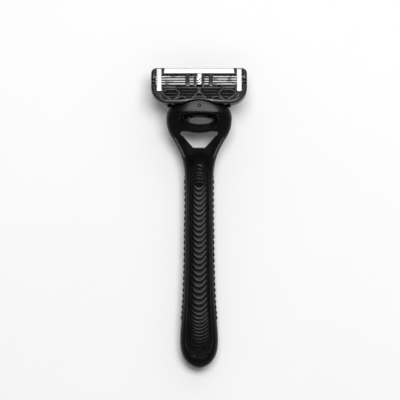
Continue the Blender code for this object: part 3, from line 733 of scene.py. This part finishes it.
def crescent_centres():
    """Where the crescents' lowest points lie, from the lens down to the butt."""
    places = []
    y = FIRST_CRESCENT_Y
    while y > LAST_CRESCENT_Y:
        places.append(y)
        y -= np.interp(y, [-46.0, -37.0, -30.0, 12.0], [SMALLEST_PITCH, 2.5, 2.63, 2.15])
    return places


def scale(y, low, pitch, height):
    """One scale: a crisp step at its low end, then a hollow slope that flattens towards +Y."""
    share = (y - low) / pitch
    return height * smoothstep(share / 0.12) * np.clip(1.0 - share / 0.85, 0.0, 1.0) ** 2.0


# the nested arches above the first crescent: Y of the edge, reach towards the butt,
# drop of its ends, and height
ARCHES = (
    (23.4, 1.5, 3.0, 0.12),
    (21.8, 1.6, 3.6, 0.24),
    (20.3, 1.1, 3.5, 0.14),
    (19.1, 1.5, 3.4, 0.32),
    (17.6, 1.3, 2.7, 0.16),
    (16.2, 2.6, 2.1, 0.42),
)


def from_edge(x, y, width):
    """Distance outwards from the curve |x| = width(y), square to it."""
    slope = (width(y + 0.05) - width(y - 0.05)) / 0.1
    return (np.abs(x) - width(y)) / np.sqrt(1.0 + np.minimum(slope**2, 400.0))


def inlay_relief(x, y):
    """Height of the moulded pattern above the plain surface of the front inlay."""
    across = from_edge(x, y, groove_width)
    spread = np.where(across > 0.0, 0.75, 0.3)
    deep = 0.4 + 0.5 * smoothstep((-57.5 - y) / 2.5)
    relief = -deep * np.exp(-((across / spread) ** 2))
    inside = smoothstep((-across - 0.1) / 0.4)
    reach = np.clip(np.abs(x) / np.maximum(groove_width(y), 0.3), 0.0, 1.3)
    pattern = np.zeros_like(x)
    centres = crescent_centres()
    rise = np.interp(y, [-58.0, -46.0, 10.0], [1.9, 3.3, 4.6]) * reach**2.1
    for centre, following in zip(centres, centres[1:] + [centres[-1] - SMALLEST_PITCH]):
        pitch = centre - following
        height = np.interp(pitch, [1.4, 2.6], [0.15, 0.22]) * (1.0 - 0.6 * reach**2)
        pattern = np.maximum(pattern, scale(y - rise, centre - 0.3 * pitch, pitch, height))
    covered = y < FIRST_CRESCENT_Y + 0.9 + 0.85 * rise
    upper = np.zeros_like(x)
    for crest, run, fall, height in ARCHES:
        below = crest - y - fall * reach**2
        step = height * smoothstep(below / 0.45) * np.clip(1.0 - below / run, 0.0, 1.0) ** 0.8
        upper = np.maximum(upper, step)
    pattern = np.where(covered, pattern, upper)
    return relief + inside * (pattern - 0.04)


def make_front_grip():
    y_values = np.concatenate([
        -62.0 + 2.0 * (1.0 - np.cos(np.linspace(0.0, np.pi / 2, 24)))[:-1],
        np.arange(-60.0, 22.7, 0.1),
        24.7 - 2.0 * (1.0 - np.cos(np.linspace(np.pi / 2, 0.0, 24))),
    ])
    quarter = np.pi / 2 * 0.93  # lines crowd towards the edges
    t_values = np.sin(np.linspace(-quarter, quarter, 81)) / math.sin(quarter)
    y = np.repeat(y_values[:, None], len(t_values), axis=1)
    x = t_values[None, :] * inlay_width(y)
    inward = -from_edge(x, y, inlay_width)
    proud = 0.2 * smoothstep(inward / 0.6) - 0.05 + 0.2 * np.exp(-(((inward - 0.55) / 0.33) ** 2))
    top = np.dstack([x, y, front_z(x, y) + proud + inlay_relief(x, y)])
    bottom = np.dstack([x, y, front_z(x, y) - 1.6])
    pad = slab("front_inlay", top, bottom)
    slot = "soft_black_rubber"
    publish(pad, "front_inlay", soft_rubber, slot, "handle", "front_grip", smooth=60.0)


def make_side_grips():
    low_y, high_y, step = -46.0, 19.0, 0.12
    low_z, high_z = 2.8, 8.4
    y_values = np.arange(low_y, high_y + 0.001, step)
    z_values = np.linspace(low_z, high_z, 15)
    y = np.repeat(y_values[:, None], len(z_values), axis=1)
    z = np.repeat(z_values[None, :], len(y_values), axis=0)
    phase = np.cumsum(step / np.interp(y_values, [low_y, -30.0, high_y], [2.25, 2.6, 2.7]))
    bump = np.abs(np.cos(np.pi * phase)) ** 0.8
    ends = smoothstep((y_values - low_y) / 2.0) * smoothstep((high_y - y_values) / 2.0)
    rib = ((0.42 * bump - 0.06) * ends)[:, None]
    edge = smoothstep(np.minimum(z - low_z, high_z - z) / 0.7)
    for side, word in SIDES:
        outer_x = side_x(y, z) + rib * edge + 0.04 * edge - 0.06
        top = np.dstack([side * outer_x, y, z])
        bottom = np.dstack([side * (side_x(y, z) - 1.0), y, z])
        strip = slab("strip", top, bottom)
        # the ribs take the darker, duller copy of the soft rubber: painted shade
        name, node = word + "_side_ribs", word + "_side_grip"
        publish(strip, name, shade_dulled_rubber, "soft_black_rubber", "handle", node, smooth=60.0)


def make_back_grip():
    """The pad underneath: flat where it rests, with shallow cross ribs."""
    y_values = np.arange(-52.0, 14.001, 0.25)
    t_values = np.linspace(-1.0, 1.0, 25)
    y = np.repeat(y_values[:, None], len(t_values), axis=1)
    upper = np.clip((y - 9.4) / 4.6, 0.0, 1.0)
    lower = np.clip((-47.4 - y) / 4.6, 0.0, 1.0)
    width = 4.6 * np.sqrt(1.0 - upper**2) * np.sqrt(1.0 - lower**2)
    x = t_values[None, :] * width
    edge = np.minimum(width - np.abs(x), np.minimum(14.0 - y, y + 52.0) * 0.8)
    lift = 0.22 * (1.0 - smoothstep(edge / 0.5))
    phase = (y + 0.16 * x**2) / 2.6
    groove = smoothstep((np.abs(np.mod(phase, 1.0) - 0.5) - 0.32) / 0.12)
    groove = 0.14 * groove * smoothstep((edge - 0.9) / 0.3)
    under = np.dstack([x, y, lift + groove])
    over = np.dstack([x, y, np.full_like(x, 1.6)])
    pad = slab("back_pad", under, over)
    publish(pad, "back_pad", soft_rubber, "soft_black_rubber", "handle", "back_grip", smooth=60.0)


def make_button():
    """A thumb button: a raised lip under the cover, falling away towards the opening."""
    half = arc((0.0, 37.3), (4.0, 37.7), (7.4, 38.7), 8)
    half += arc((7.55, 39.6), (7.6, 41.2), (7.35, 42.6), 5)
    half += arc((6.9, 43.2), (3.8, 43.8), (0.0, 44.0), 8)
    outline = np.array(mirrored(half))
    centre = np.array([0.0, 40.8])
    rings = []

    def button_top(x, y):
        past = y - 41.1 - 0.028 * x**2
        front = np.where(past < 0.8, 0.14 * np.maximum(past, 0.0) ** 2, 0.224 * (past - 0.4))
        back = 0.075 * np.maximum(-past, 0.0) ** 2
        return np.maximum(16.1 - front - back - 0.0028 * np.abs(x) ** 3, 14.8)

    for level, spread in ((14.35, 0.93), (14.65, 0.985)):
        ring = centre + (outline - centre) * spread
        rings.append(np.column_stack([ring, np.full(len(outline), level)]))
    insets = [0.0, 0.08, 0.2, 0.4, 0.7, 1.1, 1.6, 2.2, 2.9, 3.6, 4.5, 5.5, 6.5, 7.2]
    reach = np.linalg.norm(outline - centre, axis=1)
    for inset in insets:
        spread = np.clip(1.0 - inset / 7.6, 0.0, 1.0)
        ring = centre + (outline - centre) * spread
        # the end towards the opening is rounded over in a quarter of an ellipse
        from_rim = 1.0 - np.clip((1.0 - spread) * reach / 0.45, 0.0, 1.0)
        fall = 0.3 * (1.0 - np.sqrt(np.clip(1.0 - from_rim**2, 0.0, 1.0)))
        fall = fall * np.clip(39.8 - ring[:, 1], 0.0, 1.0)
        rings.append(np.column_stack([ring, button_top(ring[:, 0], ring[:, 1]) - fall]))
    button = loft("button", rings)
    members = [button]
    for side, _ in SIDES:
        # a prong in two parts, and the lug that its return spring pushes on
        prong_x = on_side(side, 6.75, 7.35)
        lug_x = on_side(side, RETURN_SPRING_X - 1.1, RETURN_SPRING_X + 1.1)
        members.append(rounded(box(prong_x, (41.0, 42.6), (11.9, 14.6)), 0.12))
        members.append(rounded(box(prong_x, (42.2, 45.9), (11.9, 12.9)), 0.12))
        members.append(rounded(box(lug_x, (39.1, 40.1), (11.5, 14.9)), 0.12))
    button = merge("button", members)
    publish(button, "thumb_button", satin_plastic, "satin_black_plastic", "button", "eject_button")


def coil_points(radius, start_y, end_y, turns, x, z):
    steps = 24
    points = []
    for k in range(turns * steps + 1):
        angle = 2.0 * math.pi * k / steps
        y = start_y + (end_y - start_y) * k / (turns * steps)
        points.append((x + radius * math.cos(angle), y, z + radius * math.sin(angle)))
    return points


def make_springs():
    wire = 0.15
    for side, word in SIDES:
        node = "button_spring_" + word
        low, high = (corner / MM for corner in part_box(node))
        place = (side * RETURN_SPRING_X, RETURN_SPRING_Z)
        coil = tube(coil_points(0.85, low.y + wire, high.y - wire, 6, *place), wire)
        publish(coil, "return_coil_" + word, spring_wire, "spring_steel", "handle", node)
        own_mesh(coil)
    low, high = (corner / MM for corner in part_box("plunger_spring"))
    wire = 0.17
    coil = tube(coil_points(1.1, low.y + wire, high.y - wire, 7, 0.0, PLUNGER_Z), wire)
    publish(coil, "plunger_coil", spring_wire, "spring_steel", "handle", "plunger_spring")
    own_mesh(coil)


def make_neck_edges():
    """A fine raised edge along the outside of each arm of the neck, in a lighter plastic that is a painted
    glint.
    """
    arm = [(10.7, 35.4), (9.6, 33.6), (8.75, 32.0), (7.75, 30.2), (6.9, 28.2), (6.2, 26.6)]
    for side, word in SIDES:
        line = []
        for x, y in flowing(arm, 8):
            line.append((side * x, y, float(front_z(x, y)) - 0.08))
        edge = tube(line, 0.3, 6, lambda t: 0.5 + 0.5 * math.sin(math.pi * t) ** 0.5)
        publish(edge, "neck_edge_" + word, neck_glint_plastic, "hard_black_plastic", "handle")


# ------------------------------------------------------------------ cartridge


def in_place(piece):
    """Moves a piece built in the cartridge's plane (x, u, n) to its place on the razor."""
    turn = Matrix.Rotation(-FACE_TILT, 4, "X")
    shift = Matrix.Translation(Vector((0.0, -PIVOT_U, -PIVOT_N)) * MM)
    piece.data.transform(Matrix.Translation(Vector(PIVOT) * MM) @ turn @ shift)
    return piece


def cartridge_outline(inset=0.0):
    w = CARTRIDGE_HALF_WIDTH - inset
    low, high = CARTRIDGE_U[0] + inset, CARTRIDGE_U[1] - inset
    big, small = 7.8 - inset, max(2.3 - inset, 0.6)
    bulge = 1.0 - math.sqrt(0.5)
    half = arc((w - big, low), (w - big * bulge, low + big * bulge), (w, low + big), 20)
    half += arc((w, high - small), (w - small * bulge, high - small * bulge), (w - small, high), 8)
    return mirrored(half)


def small_hole(side, low):
    """What cuts a small triangular hole beside the middle of the guard."""
    return prism([(side * 3.5, 1.95), (side * 4.9, 1.95), (side * 4.2, 0.9)], low, 2.0)


def frame_shell():
    """The frame's solid outer form, its edges rounded over in steps."""
    section = [(0.5, -4.3), (0.12, -4.1), (0.0, -3.7), (0.0, -1.0)]
    section += [(0.08, -0.6), (0.3, -0.25), (0.6, -0.06), (0.85, 0.0)]
    rings = []
    for inset, n in section:
        ring = np.array(cartridge_outline(inset))
        rings.append(np.column_stack([ring, np.full(len(ring), n)]))
    return loft("frame", rings)


def frame_tools():
    """What is cut out of the frame, apart from its middle arch and the small holes."""
    tools = []
    # seat of the strip, cap line, blade pocket
    tools.append(box((-15.5, 15.5), (12.75, 17.0), (-0.75, 2.0)))
    tools.append(box((-16.1, 16.1), (11.7, 12.6), (-1.4, 2.0)))
    tools.append(box((-19.3, 19.3), (6.9, 12.6), (-3.5, 2.0)))
    # seat of the soft guard
    seat = [(-16.0, 6.9), (-16.0, 2.6), (-14.6, 1.2), (-12.6, 0.5)]
    seat += [(-6.0, 0.7), (0.0, 1.3), (6.0, 0.7)]
    seat += [(12.6, 0.5), (14.6, 1.2), (16.0, 2.6), (16.0, 6.9)]
    tools.append(prism(seat, -1.1, 2.0))
    for side, _ in SIDES:
        # recess round each clip, with its slots and the notches beside it
        tools.append(box(on_side(side, 16.15, 18.9), (4.1, 15.25), (-0.45, 2.0)))
        for u in CLIP_U:
            tools.append(box(on_side(side, 16.4, 18.65), (u - 0.3, u + 0.3), (-9.0, 2.0)))
        for u, half in ((8.45, 0.4), (10.2, 0.34)):
            tools.append(box(on_side(side, 18.9, 21.5), (u - half, u + half), (-3.2, 2.0)))
        # groove below the clip, room for the connector's ear, and rinsing windows
        groove = [(side * 17.5, 3.1), (side * 16.2, 1.9), (side * 14.2, 0.8)]
        tools.append(prism(thick_path(groove, 0.75), -1.2, 2.0))
        tools.append(box(on_side(side, 12.2, 14.0), (-5.0, 4.2), (-9.0, -1.15)))
        for low, high in ((0.8, 8.2), (9.4, 16.0)):
            tools.append(box(on_side(side, low, high), (7.2, 12.3), (-9.0, -3.0)))
    # room underneath for the front cover's tip
    tools.append(box((-12.1, 12.1), (-5.0, 3.0), (-9.0, -1.25)))
    return tools


def make_frame():
    shell = cut(frame_shell(), *frame_tools(), solver="MANIFOLD")
    arch = arc((7.4, -1.0), (0.0, 0.75), (-7.4, -1.0), 31) + [(-7.4, -4.0), (7.4, -4.0)]
    cut(shell, prism(arch, -9.0, 2.0), solver="MANIFOLD")
    for side, _ in SIDES:
        cut(shell, small_hole(side, -9.0), solver="MANIFOLD")
    # the tab that the plunger presses stands square to the plunger
    tab = box((-2.3, 2.3), (1.8, 3.6), (-5.4, -2.0))
    tab.data.transform(Matrix.Rotation(FACE_TILT, 4, "X"))
    tab.data.transform(Matrix.Translation(Vector((0.0, PIVOT_U, PIVOT_N)) * MM))
    join(shell, tab, solver="MANIFOLD")
    rounded(shell, 0.07, 2, 35.0)
    members = [shell]
    for side, _ in SIDES:
        ends = [(side * x, PIVOT_U, PIVOT_N) for x in (12.5, 14.6)]
        members.append(tube(ends, 0.5))
    piece = in_place(merge("frame", members))
    slot = "cartridge_plastic"
    publish(piece, "cartridge_body", frame_plastic, slot, "cartridge", "cartridge_frame")


def rib(points, width, top=0.0, depth=0.9):
    """A flat-topped rib along a smooth line in the cartridge's plane."""
    line = flowing(points, 6) if len(points) > 2 else points
    return rounded(prism(thick_path(line, width), top - depth, top), 0.07, 2, 50.0)


def flank(side, places):
    """Places on the right-hand half, or their mirror image on the left."""
    return [(side * x, u) for x, u in places]


def make_guard():
    """The soft lattice; the thin fins across its open fields, in a darker copy of its rubber as painted
    shade; and a thin dull dark sheet on the well's floor below, as painted shade.
    """
    members = []
    fins = []
    # top rim, centre post and the cross bars below it
    members.append(rib([(-9.6, 6.2), (9.6, 6.2)], 0.62))
    members.append(rib([(0.0, 5.9), (0.0, 3.6)], 1.3, -0.1))
    members.append(rib([(-3.1, 1.75), (0.0, 2.1), (3.1, 1.75)], 0.5, -0.01))
    members.append(rib([(-5.4, 0.72), (0.0, 1.25), (5.4, 0.72)], 0.45, -0.02))
    # each side has its own level, so that no two tops coincide
    for side, level in ((-1.0, -0.004), (1.0, -0.008)):
        members.append(rib(flank(side, [(10.2, 6.5), (15.9, 6.5)]), 1.1, level - 0.05))
        # the eye: outer and inner curved ribs with a lid between them
        outer = [(15.8, 6.7), (16.0, 4.2), (15.2, 2.5), (12.2, 0.4)]
        inner = [(10.4, 6.8), (10.0, 5.3), (8.6, 3.6), (9.9, 1.5), (11.6, 0.35)]
        lid = [(15.6, 4.4), (14.2, 5.25), (10.4, 5.3)]
        members.append(rib(flank(side, outer), 0.62, level))
        members.append(rib(flank(side, inner), 0.6, level - 0.01))
        members.append(rib(flank(side, lid), 0.5, level - 0.03))
        fins.append(rib(flank(side, [(15.0, 3.5), (9.4, 3.5)]), 0.42, -0.3))
        fins.append(rib(flank(side, [(14.6, 2.1), (12.4, 1.9), (9.9, 2.3)]), 0.42, -0.25))
        # the low arch and the leg that rises to the centre post
        low_arch = [(10.2, 0.95), (7.6, 2.05), (6.1, 1.4), (4.7, 0.3)]
        leg = [(4.9, 0.3), (3.0, 1.2), (1.6, 2.8), (0.8, 4.0)]
        members.append(rib(flank(side, low_arch), 0.55, level - 0.02))
        members.append(rib(flank(side, leg), 0.6, level - 0.015))
        # fins across the open fields
        for u, near, far, width in ((4.9, 1.0, 8.2, 0.4), (3.4, 1.9, 7.9, 0.4), (2.2, 3.2, 7.9, 0.34)):
            fins.append(rib(flank(side, [(near, u), (far, u)]), width, -0.4))
    holes = [small_hole(side, -5.0) for side, _ in SIDES]
    # a thin dull dark sheet over the well's floor: painted shade
    well = [(-15.9, 6.8), (-15.9, 2.7), (-12.5, 0.6), (-6.0, 0.8), (0.0, 1.4)]
    well += [(6.0, 0.8), (12.5, 0.6), (15.9, 2.7), (15.9, 6.8)]
    well = cut(prism(well, -1.12, -1.0), *holes)
    publish(in_place(well), "guard_well_shade_sheet", shade_sheet_plastic, "cartridge_plastic", "cartridge")
    # the fins take the darker copy of the guard rubber: painted shade
    cross_fins = in_place(merge("fins", fins))
    publish(cross_fins, "guard_cross_fins", shaded_fin_rubber, "guard_rubber", "cartridge")
    lattice = in_place(merge("lattice", members))
    publish(lattice, "guard_lattice", guard_rubber, "guard_rubber", "cartridge", "guard_fins")


def make_strip():
    half = [(15.45, 12.95), (15.1, 15.15)]
    outline = np.array(mirrored(half))
    centre = outline.mean(axis=0)
    rings = []
    half_size = np.array([15.3, 1.1])
    for inset, n in ((0.0, -0.6), (0.0, 0.18), (0.06, 0.27), (0.16, 0.33), (0.3, 0.35)):
        ring = centre + (outline - centre) * (1.0 - inset / half_size)
        rings.append(np.column_stack([ring, np.full(len(outline), n)]))
    strip = in_place(loft("strip", rings))
    node = "lubricating_strip"
    publish(strip, "lubricating_band", white_strip, "white_strip", "cartridge", node, smooth=30.0)


def make_clips():
    """Two bright strips over the face, hooked round the frame's edges to its back."""
    low, high = CLIP_U
    top, under, bend = 0.3, -4.6, 0.35
    path = [(low + 1.5, under), (low + bend, under)]
    path += arc((low + bend, under), (low + bend * 0.3, under + bend * 0.3), (low, under + bend), 4)[1:]
    path += [(low, top - bend)]
    path += arc((low, top - bend), (low + bend * 0.3, top - bend * 0.3), (low + bend, top), 5)[1:]
    path += [(high - bend, top)]
    path += arc((high - bend, top), (high - bend * 0.3, top - bend * 0.3), (high, top - bend), 5)[1:]
    path += [(high, under + bend)]
    path += arc((high, under + bend), (high - bend * 0.3, under + bend * 0.3), (high - bend, under), 4)[1:]
    path += [(high - 1.5, under)]
    for side, word in SIDES:
        clip = prism(thick_path(path, 0.28), *on_side(side, *CLIP_X), "YZ")
        clip = in_place(rounded(clip, 0.05, 2, 60.0))
        name, node = "blade_clip_" + word, "clip_" + word
        publish(clip, name, clip_metal, "clip_aluminium", "cartridge", node)


def make_blades():
    """Four short blades, each with a ground bevel at its edge."""
    back = np.array([math.cos(BLADE_ANGLE), -math.sin(BLADE_ANGLE)])
    across = np.array([math.sin(BLADE_ANGLE), math.cos(BLADE_ANGLE)]) * BLADE_HALF_THICKNESS
    for k in range(BLADE_COUNT):
        edge = np.array([FIRST_BLADE_U + BLADE_PITCH * k, 0.0])
        shoulder = edge + back * BEVEL_WIDTH
        spine = edge + back * BLADE_WIDTH
        outline = [edge, shoulder - across, spine - across, spine + across, shoulder + across]
        ends = (-BLADE_HALF_LENGTH, BLADE_HALF_LENGTH)
        blade = in_place(prism([tuple(p) for p in outline], *ends, "YZ"))
        name, node = "ground_blade_%d" % (k + 1), "blade_%d" % (k + 1)
        publish(blade, name, blade_steel, "blade_steel", "cartridge", node, smooth=15.0)


def make_connector():
    """The socket that plugs onto the nose, with an arm and an ear at each side."""
    block = box((-8.0, 8.0), (46.0, 50.2), (8.9, 15.5))
    tools = [box((-13.8, 13.8), (48.5, 49.9), (12.0, 14.4))]
    for side, _ in SIDES:
        ear_x = on_side(side, 12.26, 13.94)
        tools.append(prism(thick_path([(49.25, 13.35), tuple(PIVOT[1:])], 2.0), *ear_x, "YZ"))
        tools.append(prism(circle(PIVOT[1:], 1.4, 32), *ear_x, "YZ"))
    join(block, *tools)
    socket = box((-6.7, 6.7), (0.0, 49.3), (9.7, 14.4))
    bore = box((-2.5, 2.5), (40.0, 60.0), (10.3, 14.1))
    cut(block, socket, bore)
    rounded(block, 0.12, 2, 50.0)
    publish(block, "socket_and_arms", hard_plastic, "hard_black_plastic", "connector", "connector")


def make_blade_bars():
    """Dark bars across the blades that keep the skin off the edges."""
    members = []
    for side, _ in SIDES:
        for near, far in ((1.3, 2.35), (4.2, 6.0)):
            members.append(rounded(box(on_side(side, near, far), (6.65, 12.72), BAR_N), 0.06))
    bars = in_place(merge("bars", members))
    publish(bars, "blade_bars", frame_plastic, "cartridge_plastic", "cartridge")


def make_post():
    """The bright post: three leaves with slanted slits between them."""
    low, top = BAR_N
    left, right = -0.72, 1.05
    leaves = [
        prism([(right, 12.74), (left, 12.74), (left, 9.65), (right, 10.85)], low, top),
        prism([(left, 9.1), (left, 8.5), (right, 9.6), (right, 10.3)], low, top - 0.02),
        prism([(left, 7.95), (left, 7.6), (0.5, 7.8), (right, 8.3), (right, 9.1)], low, top - 0.02),
    ]
    post = in_place(merge("post", [rounded(leaf, 0.05) for leaf in leaves]))
    publish(post, "middle_post", clip_metal, "clip_aluminium", "cartridge", "centre_post")


# ------------------------------------------------------------------ room, light, camera


def make_room():
    bpy.ops.mesh.primitive_plane_add(size=6.0, location=(0.0, 0.0, 0.0))
    floor = bpy.context.object
    floor.name = "floor"
    finish, nodes, links, shader = blank("paper_floor")
    tone = noise(nodes, links, 14.0, 4.0)
    pale = ranged(nodes, links, tone, 0.0, 1.0)
    body = mixed(nodes, links, pale, (0.865, 0.865, 0.865), (0.88, 0.88, 0.88))
    links.new(body.outputs["Result"], shader.inputs["Base Color"])
    shader.inputs["Roughness"].default_value = 0.75
    shader.inputs["Specular IOR Level"].default_value = 0.2
    floor.data.materials.append(finish)

    world = bpy.data.worlds.new("studio")
    bpy.context.scene.world = world
    world.use_nodes = True
    nodes = world.node_tree.nodes
    links = world.node_tree.links
    background = nodes["Background"]
    place = nodes.new("ShaderNodeTexCoord")
    split = nodes.new("ShaderNodeSeparateXYZ")
    ramp = nodes.new("ShaderNodeValToRGB")
    links.new(place.outputs["Generated"], split.inputs["Vector"])
    links.new(split.outputs["Z"], ramp.inputs["Fac"])
    links.new(ramp.outputs["Color"], background.inputs["Color"])
    stops = ramp.color_ramp.elements
    stops[0].position, stops[1].position = 0.0, 1.0
    for position, level in ((0.3, 0.4), (0.6, 0.25), (0.8, 0.08), (0.9, 0.02)):
        stops.new(position).color = (level, level, level, 1.0)
    stops[0].color = (0.4, 0.4, 0.4, 1.0)
    stops[-1].color = (0.01, 0.01, 0.01, 1.0)
    background.inputs["Strength"].default_value = 1.0


def soft_light(name, place, size, power):
    light = bpy.data.lights.new(name, "AREA")
    light.shape = "RECTANGLE"
    light.size, light.size_y = size
    light.energy = power
    lamp = bpy.data.objects.new(name, light)
    bpy.context.scene.collection.objects.link(lamp)
    lamp.location = place
    lamp.rotation_euler = (Vector((0.0, 0.0, 0.0)) - Vector(place)).to_track_quat("-Z", "Y").to_euler()
    return lamp


def make_camera():
    camera = bpy.data.cameras.new("camera")
    seat = bpy.data.objects.new("camera", camera)
    bpy.context.scene.collection.objects.link(seat)
    height = 2.0
    level = 17.0 * MM
    field = 175.0 * MM
    camera.sensor_width = 36.0
    camera.lens = camera.sensor_width * height / field
    camera.clip_start = 0.05
    camera.clip_end = 50.0
    seat.location = (0.4 * MM, 7.9 * MM, height + level)
    bpy.context.scene.camera = seat


make_camera()
make_room()
soft_light("key_softbox", (0.16, 0.51, 1.5), (1.0, 0.65), 23.0)
soft_light("front_softbox", (0.3, 1.6, 1.0), (2.4, 1.0), 7.0)
soft_light("low_softbox", (0.0, 2.4, 0.25), (2.0, 0.45), 2.5)
soft_light("rear_reflector", (0.0, -0.75, 1.4), (1.6, 0.5), 1.6)
bpy.context.scene.view_settings.view_transform = "Standard"

make_handle()
make_hood()
make_front_grip()
make_side_grips()
make_back_grip()
make_neck_edges()
make_button()
make_springs()
make_frame()
make_guard()
make_strip()
make_clips()
make_blades()
make_blade_bars()
make_post()
make_connector()

refinish("head_rear_cover", hard_plastic)
refinish("plunger", hard_plastic)
for k in range(BLADE_COUNT):
    refinish("blade_support_%d" % (k + 1), support_steel)
